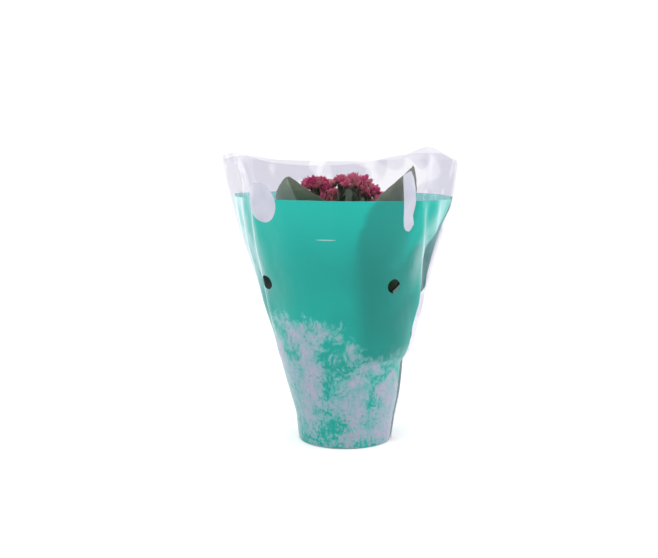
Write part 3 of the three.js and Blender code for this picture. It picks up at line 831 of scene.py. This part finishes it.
def random_value(tree, low, high, seed=0):
    """A random number between two numbers, or a random vector between two vectors, for each point."""
    if isinstance(low, tuple):
        return output(tree, "FunctionNodeRandomValue", {0: low, 1: high, "Seed": seed}, data_type="FLOAT_VECTOR")
    return output(tree, "FunctionNodeRandomValue", {2: low, 3: high, "Seed": seed}, 1, data_type="FLOAT")


def store(geometry, name, value, domain="POINT"):
    return output(geometry.tree, "GeometryNodeStoreNamedAttribute", {
        "Geometry": geometry, "Name": name, "Value": value}, data_type="FLOAT", domain=domain)


def moved(geometry, **places):
    return output(geometry.tree, "GeometryNodeSetPosition", {"Geometry": geometry, **places})


def laid_on(points, instance, rotation, scale, **choice):
    sockets = {key.replace("_", " "): value for key, value in choice.items()}
    return output(points.tree, "GeometryNodeInstanceOnPoints", {
        "Points": points, "Instance": instance, "Rotation": rotation, "Scale": scale, **sockets})


def real(instances):
    return output(instances.tree, "GeometryNodeRealizeInstances", {0: instances})


def painted(geometry, finish, **chosen):
    return output(geometry.tree, "GeometryNodeSetMaterial", {"Geometry": geometry, "Material": finish, **chosen})


def crumb_tree():
    """Geometry Nodes: crumbs of peat and grains of perlite, strewn over a surface."""
    tree, given = geometry_tree("strewn_crumbs", "Crumbs", Geometry=["Surface"],
                                Float=["Density", "Smallest", "Largest"], Int=["Seed"], Material=["Finish"])
    strewn = output(tree, "GeometryNodeDistributePointsOnFaces", {
        "Mesh": given["Surface"], "Density": given["Density"], "Seed": given["Seed"]}, "Points")
    lump = output(tree, "GeometryNodeMeshIcoSphere", {"Radius": 1.0, "Subdivisions": 2})
    wobble = output(tree, "ShaderNodeTexNoise", {"Scale": 1.6, "Detail": 1.0}, "Color")
    rough = moved(lump, Offset=vector_calc("SUBTRACT", wobble, (0.5, 0.5, 0.5)))
    size = random_value(tree, given["Smallest"], given["Largest"], given["Seed"])
    turn = random_value(tree, (0, 0, 0), (6.28, 6.28, 6.28))
    return end_tree(painted(real(laid_on(strewn, rough, turn, size)), given["Finish"]))


def grown(tree, base, name, **inputs):
    """The mesh that a geometry tree makes on a base mesh, with the tree's named inputs set."""
    host = new_object(name, base)
    modifier = host.modifiers.new(name, "NODES")
    modifier.node_group = tree
    for item in tree.interface.items_tree:
        if item.item_type == "SOCKET" and item.in_out == "INPUT" and item.name in inputs:
            modifier[item.identifier] = inputs[item.name]
    made = evaluated_mesh(host)
    bpy.data.objects.remove(host)
    made.name = name
    return made


def joined(name, meshes, stands_for):
    """One piece out of several meshes, with each mesh's finishes kept."""
    bm = bmesh.new()
    finishes = []
    for mesh in meshes:
        first = len(bm.faces)
        bm.from_mesh(mesh)
        bm.faces.ensure_lookup_table()
        finishes += [finish for finish in mesh.materials if finish not in finishes]
        places = [finishes.index(finish) for finish in mesh.materials]
        for face in bm.faces[first:]:
            face.material_index = places[face.material_index]
    whole = written(bm, bpy.data.meshes.new(name))
    for finish in finishes:
        whole.materials.append(finish)
    for mesh in meshes:
        bpy.data.meshes.remove(mesh)
    return place_piece(name, whole, stands_for)


def make_soil(peat, crumb, perlite):
    sides, gap, floor = 120, POT["wall"] + 0.3, POT["floor"] + 0.3
    profile = [(body_radius(floor) - gap - 1.4, floor), (body_radius(floor) - gap - 0.4, floor + 0.4)]
    profile += [(body_radius(z) - gap, z) for z in np.linspace(floor + 2, 76, 8)]
    top = len(profile) * sides
    profile += [(48.6, 79)] + [(radius, SOIL_TOP) for radius in SOIL_RADII]
    points = lathe(profile, sides)
    for spot in points[top:]:
        x, y = spot[:2]
        lump = SOIL_LUMP * (math.sin(x * 0.31 + 1) * math.cos(y * 0.27) + 0.6 * math.sin(x * 0.13 - y * 0.17 + 2))
        fine = 1.1 * noise.fractal((x / 7, y / 7, 2.0), 0.8, 2.0, 4)
        spot[2] += (lump + fine) * (1.0 if math.hypot(x, y) < 46.5 else 0.2)
    points, faces = capped(points, sides, (0, 0, floor), points[-sides:].mean(axis=0))
    block = new_mesh("soil_block", points, faces, [peat])
    bed = new_mesh("soil_bed", points, [face for face in faces[top + sides:] if len(face) == 4])
    tree = crumb_tree()
    crumbs = grown(tree, bed, "soil_crumbs", Density=90000.0, Smallest=0.0004, Largest=0.0014, Seed=4, Finish=crumb)
    grains = grown(tree, bed, "soil_perlite", Density=9000.0, Smallest=0.0005, Largest=0.0013, Seed=9,
                   Finish=perlite)
    joined("potting_soil", [block, crumbs, grains], ["soil"])


# Plants
def plant_angle(plant):
    return math.radians(FIRST_PLANT + plant * 360 / PLANTS)


def stem_centre(plant, z):
    lean = STEM["lean"] * max(0.0, (z - SOIL_TOP) / (STEM["top"] - SOIL_TOP)) ** 1.5
    return way(plant_angle(plant)) * (PLANT_RING + lean) + UP * z


def stem_radius(z):
    return lerp(STEM["base"], STEM["tip"], (z - STEM["bottom"]) / (STEM["top"] - STEM["bottom"]))


def head_centre(index):
    _, x, y, top, scale = HEAD_PLACES[index]
    return Vector((x, y, top - HEAD["rise"] * scale))


def bezier(p0, p1, p2, p3, t):
    s = 1 - t
    return p0 * s**3 + p1 * (3 * s * s * t) + p2 * (3 * s * t * t) + p3 * t**3


def bezier_slope(p0, p1, p2, p3, t):
    s = 1 - t
    return ((p1 - p0) * (3 * s * s) + (p2 - p1) * (6 * s * t) + (p3 - p2) * (3 * t * t)).normalized()


def ahead(path, k):
    """Direction of a path at one of its points."""
    return (path[min(k + 1, len(path) - 1)] - path[max(k - 1, 0)]).normalized()


def limb(path, radii, sides):
    """Points and faces of a round limb along a list of points."""
    points, normal = [], ahead(path, 0).orthogonal().normalized()
    for k, centre in enumerate(path):
        forward = ahead(path, k)
        normal = (normal - forward * normal.dot(forward)).normalized()
        binormal = forward.cross(normal)
        for side in range(sides):
            turn = FULL_TURN * side / sides
            points.append(centre + (normal * math.cos(turn) + binormal * math.sin(turn)) * radii[k])
    return capped(points, sides, path[0], path[-1])


def small_leaf(foot, side, slope, length, width):
    """Points and faces of a plain little leaf that stands out from a stalk and curves up."""
    across, sides, shares = side.cross(slope), 10, np.linspace(0, 1, 9)
    path = [foot + side * length * 0.75 * t**0.8 + slope * length * 0.75 * t**1.5 for t in shares]
    points = []
    for k, t in enumerate(shares):
        up = ahead(path, k).cross(across)
        half = max(0.25, width / 2 * 1.9 * t**0.55 * (1.0 - t) ** 0.6, 0.7 * (1 - t))
        for corner in range(sides):
            turn = FULL_TURN * corner / sides
            cup = 0.14 * half * math.cos(turn) ** 2
            points.append(path[k] + across * half * math.cos(turn) + up * (0.55 * math.sin(turn) + cup))
    return capped(points, sides, path[0], path[-1])


def make_stem(plant, green):
    points, faces = [], []

    def add(made):
        start = len(points)
        points.extend(made[0])
        faces.extend([[start + corner for corner in face] for face in made[1]])

    path, radii = [], []
    for z in np.arange(STEM["bottom"], STEM["top"] + 0.1, 1.45):
        swell = sum(math.exp(-((z - pair[0]) / 2.6) ** 2) for pair in LEAF_PAIRS)
        scar = sum(math.exp(-((z - pair[0] + 2.4) / 0.7) ** 2) for pair in LEAF_PAIRS)
        rough = 0.12 * noise.noise((z / 5, plant * 3.0, 0.5))
        path.append(stem_centre(plant, z))
        radii.append(stem_radius(z) + STEM["swelling"] * 1.3 * swell - 0.22 * scar + rough)
    # Rounded crown where the stalks part
    for z, share in ((172.9, 0.8), (173.6, 0.45)):
        path.append(stem_centre(plant, z))
        radii.append(STEM["tip"] * share)
    add(limb(path, radii, 20))
    root = stem_centre(plant, STEM["top"] - 5)
    for index, (owner, _, _, _, scale) in enumerate(HEAD_PLACES):
        if owner != plant:
            continue
        centre = head_centre(index)
        underside = centre - UP * (HEAD["height"] * 0.5 * scale)
        out = (underside - root) * Vector((1, 1, 0))
        handles = (root, root + out * 0.35 + UP * 12, underside - out * 0.12 - UP * 16, underside)
        shares = np.linspace(0, 1, STALK_STEPS)
        widths = [lerp(1.9, 1.35, t) + 0.45 * math.exp(-((t - 0.55) / 0.035) ** 2) for t in shares]
        add(limb([bezier(*handles, t) for t in shares], widths, 12))
        for level, (t, length, width) in enumerate(STALK_LEAVES):
            spot, slope = bezier(*handles, t), bezier_slope(*handles, t)
            for hand in (0, math.pi):
                side = way(index * 1.3 + level * math.pi / 2 + hand)
                side = (side - slope * side.dot(slope)).normalized()
                add(small_leaf(spot + side, side, slope, length * scale, width * scale))
        # Short stems that part under the head
        for pedicel in range(PEDICELS):
            turn = pedicel * GOLDEN_TURN + index
            lean = lerp(0.25, 1.1, (pedicel % 5) / 4)
            heading = Vector((math.cos(turn) * math.sin(lean), math.sin(turn) * math.sin(lean), math.cos(lean)))
            start = underside + UP * (0.5 * (pedicel % 4) - 8)
            dome = Vector((HEAD["radius"], HEAD["radius"], HEAD["height"]))
            tip = centre + heading * dome * 0.75 * scale - UP * 1.2
            bow = lerp(start, tip, 0.5) + Vector((heading.x, heading.y, -0.5)) * 1.6
            curve = [lerp(lerp(start, bow, t), lerp(bow, tip, t), t) for t in np.linspace(0, 1, 6)]
            add(limb(curve, PEDICEL_RADII, 7))
    name = f"stem_{plant + 1}"
    piece(f"plant_{name}", points, faces, [green], [name], sharp=60)


def film_radius(angle, z):
    """Distance from the pot's axis to the film's inside, along a heading."""
    shares = np.arange(-1, 1.0001, 0.02)
    x, y, _ = np.concatenate([film_place(shares, front, float(z), -0.6) for front in (1, -1)]).T
    reach = np.hypot(x, y)
    return float(reach[np.argmax((x * math.cos(angle) + y * math.sin(angle)) / reach)])


def leaf_plans():
    plans = []
    for pair, (joint, height, reach, width, scallops) in enumerate(LEAF_PAIRS):
        for plant in range(PLANTS):
            for outer in (True, False):
                index = len(plans)
                name = f"leaf_{index + 1:02d}"
                placed = PLACED_LEAVES.get(name, {})
                hand = -1 if pair % 2 else 1
                start = plant_angle(plant) + hand * math.radians(45 if outer else -135)
                end = plant_angle(plant) + hand * math.radians(OUTER_HEADING if outer else -INNER_HEADING)
                if "heading" in placed:
                    end = math.radians(placed["heading"])
                end += FULL_TURN * math.floor((start - end) / FULL_TURN + 0.5)
                top = placed.get("height", height + 3 * math.sin(index * 2.4))
                tip = way(end) * placed.get("reach", reach) * film_radius(end, top) + UP * top
                foot = stem_centre(plant, joint) + way(start) * (stem_radius(joint) + STEM["swelling"] - 0.2)
                plans.append(dict(name=name, foot=foot, start=start, tip=tip, end=end, seed=index * 5.3,
                                  width=placed.get("width", width), scallops=scallops,
                                  taper=placed.get("taper", TAPER)))
    return plans


def make_leaf(plan, finish):
    """A fleshy leaf: a channelled petiole, then a cupped blade with a scalloped, slightly wavy edge."""
    foot, tip, start, end, seed = (plan[key] for key in ("foot", "tip", "start", "end", "seed"))
    reach = (tip - foot).length
    handles = (foot, foot + way(start, 0.4) * reach * 0.2, tip - way(end, 2.4) * reach * 0.4, tip)
    lobes = plan["scallops"] * 2 + 1
    grow, narrow = plan["taper"]
    widest = (grow / (grow + narrow)) ** grow * (narrow / (grow + narrow)) ** narrow

    def place(along, across, rise):
        """along is the curve's parameter; across and rise are in mm."""
        t = min(max(along, 0.0), 1.0)
        forward = bezier_slope(*handles, t)
        turn = start + (end - start) * float(smoothstep(t, 0, 0.7))
        side = UP.cross(way(turn))
        side = (side - forward * side.dot(forward)).normalized()
        face = forward.cross(side)
        beyond = forward * (along - t) * reach * (1 - PETIOLE_SHARE)
        return bezier(*handles, t) + side * across + face * rise + beyond

    stations = [(k / PETIOLE_ROWS * PETIOLE_SHARE, 0.0) for k in range(PETIOLE_ROWS)]
    stations += [(PETIOLE_SHARE, q) for q in 1 - (1 - np.linspace(0, 1, LEAF_ROWS)) ** 1.25]
    columns = np.sin(np.linspace(-1, 1, 2 * LEAF_COLUMNS + 1) * math.pi / 2)
    rows, marks = [], []
    for t, q in stations:
        on_blade = float(smoothstep(q, 0.0, 0.12))
        outline = q**grow * (1 - 0.992 * q) ** narrow / widest
        petiole = lerp(3.3, 2.3, t / PETIOLE_SHARE)
        scallop = 0.055 * (abs(math.sin(math.pi * lobes * q**1.1)) ** 0.7 - 0.55) * float(smoothstep(q, 0.12, 0.3))
        half = max(petiole * (1 - on_blade), plan["width"] / 2 * outline * (1 + scallop))
        thick = lerp(2.9, 2.2, t / PETIOLE_SHARE) if q == 0 else lerp(2.2, 1.25, q)
        upper, lower = [], []
        for column in columns:
            size = abs(column)
            # Rows lean forward towards the edge, as the side veins do
            lean = 0.13 * size * on_blade * (1 - q) ** 0.6 * (0.4 + 0.6 * math.sin(math.pi * min(1, q * 1.2)))
            along = min(t + (1 - PETIOLE_SHARE) * (q + lean), 1.0)
            wave = 1.3 * column * size * math.sin(seed + q * 9 + (1.5 if column > 0 else 0))
            warp = 1.4 * noise.noise((q * 2.2 + seed, column * 1.1, 0.3))
            curl = -3.5 * max(0.0, size - 0.9)
            rise = (half * 0.16 * size**1.6 + wave + warp + curl) * on_blade
            channel = lerp(0.5, 0.75, on_blade) * math.exp(-(column * half / 1.7) ** 2) * (1 - 0.6 * q)
            vein = 0.2 * abs(math.sin(math.pi * SIDE_VEINS * q)) ** 0.4 * math.sin(math.pi * min(1, size * 1.05))
            vein *= on_blade
            body = thick / 2 * (1 - size**5) ** 0.5
            upper.append(place(along, -column * half, rise + body - channel + vein - 0.1))
            lower.append(place(along, -column * half, rise - body - channel * 0.6 + vein * 0.4 - 0.1 * body))
        rows.append(upper + lower[::-1])
        marks.append([(q, column, 0.0) for column in (*columns, *columns[::-1])])
    # The upper and the lower face meet halfway at the edges, and strips of quads close both ends
    points, half_way, sides = np.array(rows, float), len(columns), 2 * len(columns)
    for edge in ([0, -1], [half_way - 1, half_way]):
        points[:, edge] = points[:, edge].mean(axis=1, keepdims=True)
    faces = ring_faces(len(stations), sides)
    for first in (0, (len(stations) - 1) * sides):
        faces += [[first + k, first + k + 1, first + sides - k - 2, first + sides - k - 1]
                  for k in range(half_way - 1)]
    mesh = new_mesh(f"plant_{plan['name']}", points.reshape(-1, 3), faces, [finish])
    mesh.attributes.new("blade", "FLOAT_VECTOR", "POINT").data.foreach_set("vector", np.ravel(marks))
    bm = opened(mesh)
    bmesh.ops.remove_doubles(bm, verts=bm.verts, dist=0.02 * MM)
    bmesh.ops.recalc_face_normals(bm, faces=bm.faces)
    return place_piece(mesh.name, written(bm, mesh), [plan["name"]])


# Flower heads
def petal_tree():
    """Geometry Nodes: one closed petal, standing up from its base, with its width, bow and recurve as inputs."""
    tree, given = geometry_tree("petal", "Petal", Float=PETAL_SIZES)
    block = output(tree, "GeometryNodeMeshCube", {
        "Size": (1, 1, 1), "Vertices X": 3, "Vertices Y": 2, "Vertices Z": 7}, "Mesh")
    x, side, z = parts(output(tree, "GeometryNodeInputPosition"))
    across, up = x * 2.0, z + 0.5
    width = (up ** 0.5 * (1.0 - up) ** 0.8 * 2.25 + (up * -0.16 + 0.2)) * given["Width"]
    bow = calc("SINE", up * math.pi) * given["Bow"] + up ** 3.0 * given["Recurve"]
    cup = across * across * width * given["Cup"]
    thick = (up * -0.7 + 1.0) * (side * 0.0005)
    shaped = moved(block, Position=vector(across * 0.5 * width, thick + cup - bow, up * given["Length"]))
    return end_tree(output(tree, "GeometryNodeSetShadeSmooth", {"Geometry": store(shaped, "along", up)}))


def rosette_tree(petal):
    """Geometry Nodes: petals round an axis, from the tight middle out, each set by the golden angle."""
    tree, given = geometry_tree("rosette", "Rosette", Int=["Petals", "Seed"], Float=WHORL_SIZES)
    one = output(tree, "GeometryNodeGroup", {name: given[name] for name in PETAL_SIZES}, node_tree=petal)
    index = output(tree, "GeometryNodeInputIndex")
    level = index / calc("MAXIMUM", given["Petals"] - 1.0, 1.0)
    turn = index * GOLDEN_TURN
    chance = random_value(tree, -0.12, 0.12, given["Seed"])
    tilt = chance + lerp(given["Inner Tilt"], given["Outer Tilt"], level)
    seat = given["Seat"] * level
    spot = vector(seat * calc("SINE", turn), seat * calc("COSINE", turn) * -1.0)
    points = output(tree, "GeometryNodePoints", {"Count": given["Petals"], "Position": spot})
    return end_tree(real(laid_on(points, one, vector(tilt, 0.0, turn), lerp(given["Inner Size"], 1.0, level))))


def flower_head_tree(rosette, petal_finish, calyx_finish):
    """Geometry Nodes: open blooms, half-open blooms and buds over a dome, each with its green calyx."""
    tree, given = geometry_tree("flower_head", "Head", Geometry=["Base"], Int=["Florets", "Seed"],
                                Float=["Dome Radius", "Dome Height", "Spread", "Start Turn", "Open Share", "Tone"])

    def together(geometries):
        made = node(tree, "GeometryNodeJoinGeometry")
        for geometry in geometries:
            tree.links.new(geometry.socket, made.inputs[0])
        return Value(made.outputs[0])

    def whorl(green, sizes):
        sockets = dict(zip(["Petals", *WHORL_SIZES], sizes), Seed=given["Seed"])
        return store(output(tree, "GeometryNodeGroup", sockets, node_tree=rosette), "green", green)

    def floret(petals, calyx):
        parted = together([whorl(0.0, petals), whorl(1.0, calyx)])
        return output(tree, "GeometryNodeGeometryToInstance", {0: parted})

    kinds = together([floret(*whorls) for whorls in reversed(WHORLS)])
    index = output(tree, "GeometryNodeInputIndex")
    level = index / (given["Florets"] - 1.0)
    polar = calc("SQRT", level) * given["Spread"]
    turn = index * GOLDEN_TURN + given["Start Turn"]
    out = calc("SINE", polar)
    heading = vector(out * calc("COSINE", turn), out * calc("SINE", turn), calc("COSINE", polar))
    dome = vector(given["Dome Radius"], given["Dome Radius"], given["Dome Height"])
    jitter = random_value(tree, (-0.0007, -0.0007, -0.0008), (0.0007, 0.0007, 0.0012), given["Seed"])
    seat = vector_calc("ADD", vector_calc("MULTIPLY", heading, dome), jitter)
    points = output(tree, "GeometryNodePoints", {"Count": given["Florets"], "Position": seat})
    lifted = vector_calc("ADD", heading, (0.0, 0.0, 0.35))
    aim = output(tree, "FunctionNodeAlignRotationToVector", {"Vector": lifted}, axis="Z")
    late = level * 0.25 + random_value(tree, 0.0, 1.0, given["Seed"] + 3.0)
    stage = (calc("GREATER_THAN", late, given["Open Share"])
             + calc("GREATER_THAN", late, given["Open Share"] + 0.38))
    size = random_value(tree, 0.88, 1.16, given["Seed"] + 7.0)
    laid = laid_on(points, kinds, aim, size, Pick_Instance=True, Instance_Index=stage)
    # The florets lower down a head are the paler ones
    tone = random_value(tree, -0.35, 0.35, given["Seed"] + 11.0) + (level * 0.5 - 0.25)
    pink = painted(real(store(laid, "tone", calc("ADD", tone, given["Tone"], clamp=True), "INSTANCE")), petal_finish)
    green = output(tree, "GeometryNodeInputNamedAttribute", {"Name": "green"}, data_type="FLOAT")
    return end_tree(painted(pink, calyx_finish, Selection=calc("GREATER_THAN", green, 0.5)))


def make_heads(petal_finish, calyx_finish):
    tree = flower_head_tree(rosette_tree(petal_tree()), petal_finish, calyx_finish)
    for index, (open_share, tone) in enumerate(HEAD_LOOKS):
        name = f"bloom_head_{index + 1}"
        mesh = grown(tree, bpy.data.meshes.new("head_base"), name, **DOME, **{
            "Florets": FLORETS, "Start Turn": float(index), "Open Share": open_share, "Tone": tone,
            "Seed": FIRST_SEED + index})
        mesh.transform(Matrix.Translation(head_centre(index) * MM) @ Matrix.Scale(HEAD_PLACES[index][4], 4))
        place_piece(name, mesh, [f"flower_head_{index + 1}"])


# The whole object
# Copies of one leaf colour: paler ones with painted light for the tall pair over the print's edge, the left one with
# painted shade over one half, and a dark one with painted shade for the leaves crowded inside the sleeve
lit_left_green = make_leaf_finish("lit_left_leaf", (134, 143, 122), (158, 166, 143), (164, 174, 150), (120, 110, 92),
                              (82, 92, 64))
lit_right_green = make_leaf_finish("lit_right_leaf", (101, 105, 91), (122, 126, 111), (140, 146, 126), (108, 98, 84))
shaded_inner_green = make_leaf_finish("shaded_inner_leaf", (22, 40, 20), (38, 58, 30), (62, 86, 48), (72, 56, 42))
# The tall pair that stands over the print's edge
FRONT_LEAVES = {"leaf_13": lit_right_green, "leaf_26": lit_left_green}
stem_green = make_stem_finish()
make_pot(make_pot_finish())
make_soil(make_soil_finish("dark_peat", (38, 26, 19), (84, 62, 46)),
          make_soil_finish("peat_crumb", (46, 32, 24), (104, 80, 60)),
          make_soil_finish("perlite", (214, 210, 202), (240, 238, 232)))
for plant in range(PLANTS):
    make_stem(plant, stem_green)
leaves = {plan["name"]: make_leaf(plan, FRONT_LEAVES.get(plan["name"], shaded_inner_green)) for plan in leaf_plans()}
make_sleeve(make_print_outside(), make_print_inside(), make_clear_film(), [leaves[name] for name in NEAR_LEAVES])
white_ink = make_mark_ink("white_ink", (164, 165, 179), (178, 179, 191), 0.94)
faint_ink = make_mark_ink("faint_ink", (150, 186, 184), (166, 196, 194), 0.7)
film_mark("white_disc", ellipse(-0.39, 218, 15.4, 17), white_ink, rings=10)
film_mark("white_strip", strip_rim(), white_ink, rings=6)
film_mark("faint_line", ellipse(0.06, 188, 8.4, 0.45), faint_ink, rings=2)
make_heads(make_petal_finish(), make_calyx_finish())


# Floor, light and camera
def make_studio():
    corners = [(x * FLOOR_REACH, y * FLOOR_REACH, 0) for x, y in ((-1, -1), (1, -1), (1, 1), (-1, 1))]
    pale = grained_finish("pale_floor", (3, 2, 0.5), (0.3, (0.93, 0.93, 0.93, 1)), (0.7, (0.96, 0.96, 0.96, 1)),
                          Roughness=0.8)
    new_object("floor", new_mesh("floor", corners, [(0, 1, 2, 3)], [pale]))

    scene = bpy.context.scene
    scene.world = bpy.data.worlds.new("studio")
    tree = empty_tree(scene.world)
    sky = output(tree, "ShaderNodeBackground", {"Color": (1, 1, 1, 1), "Strength": 1.08})
    node(tree, "ShaderNodeOutputWorld", {0: sky})

    for name, (azimuth, distance, height, width, tall, power) in LAMPS.items():
        data = bpy.data.lights.new(name, "AREA")
        data.shape, data.size, data.size_y, data.energy = "RECTANGLE", width, tall, power
        a = math.radians(azimuth)
        lamp = new_object(name, data)
        lamp.location = Vector((math.sin(a) * distance, -math.cos(a) * distance, height))
        lamp.rotation_euler = (UP * LAMP_AIM - lamp.location).to_track_quat("-Z", "Y").to_euler()

    lens = bpy.data.cameras.new("camera")
    lens.lens, lens.sensor_width = CAMERA["lens"], CAMERA["sensor"]
    scene.camera = new_object("camera", lens)
    scene.camera.location = Vector(CAMERA["place"]) * MM
    scene.camera.rotation_euler = (math.radians(90 - CAMERA["down"]), 0, 0)
    scene.view_settings.view_transform = "Standard"


make_studio()
